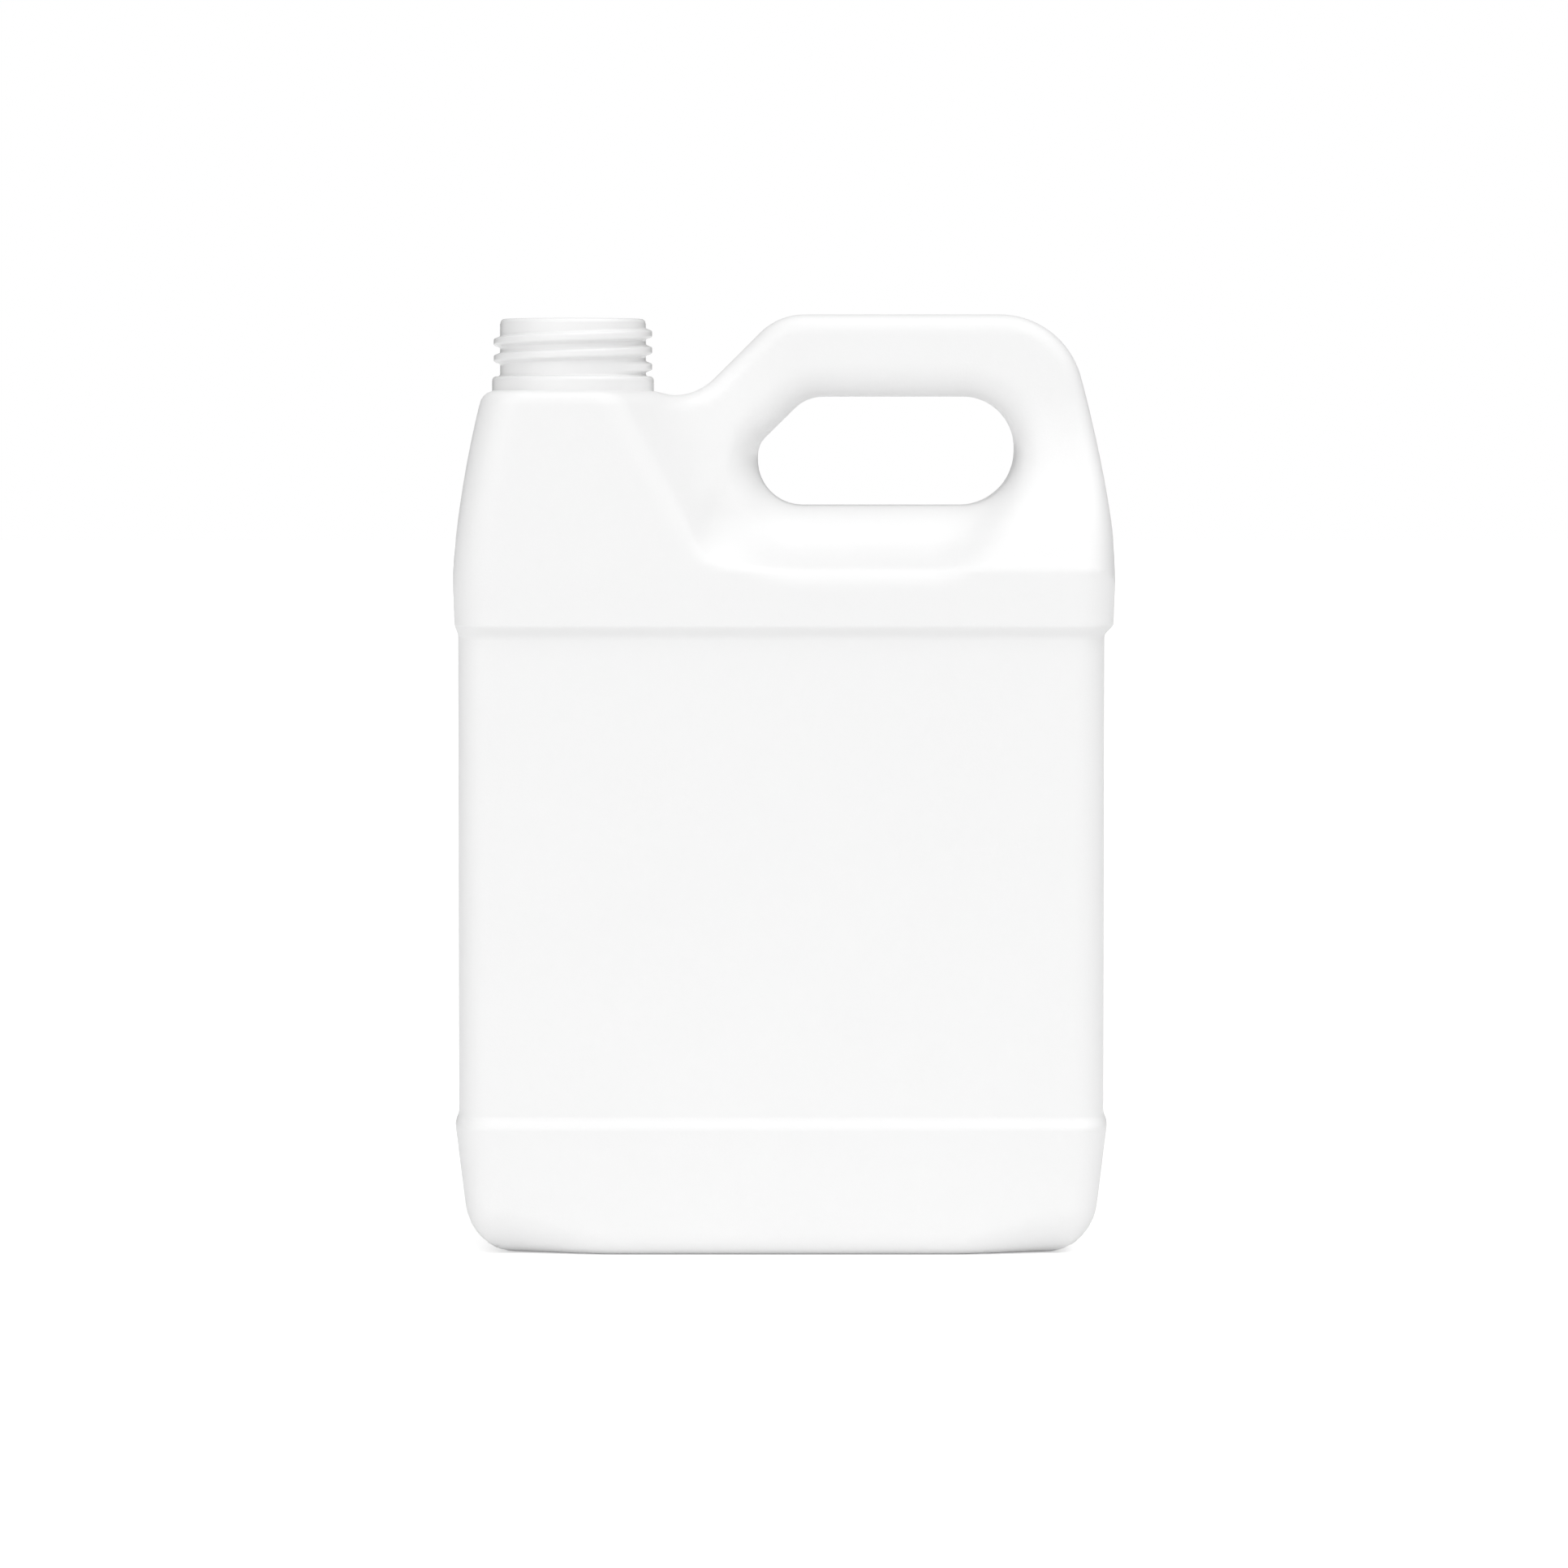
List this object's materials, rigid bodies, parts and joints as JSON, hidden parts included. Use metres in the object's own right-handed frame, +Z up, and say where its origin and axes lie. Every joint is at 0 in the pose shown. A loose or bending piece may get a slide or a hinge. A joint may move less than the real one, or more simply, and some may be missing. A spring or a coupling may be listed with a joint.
{
  "type": "f-style jug",
  "caption": "Empty white blow-moulded flat-sided jug with a screw neck at one side, a hollow loop handle at the other and a recessed label panel",
  "frame": {"origin": "middle of the jug's outer box, on the plane that it stands on", "axes": "+X along the wide face towards the handle, +Y through the depth to the back, +Z up"},
  "size_m": [0.155, 0.082, 0.22],
  "materials": {
    "jug": "satin blow-moulded white HDPE"
  },
  "bodies": {
    "root": {"jug": "jug"}
  },
  "joints": []
}
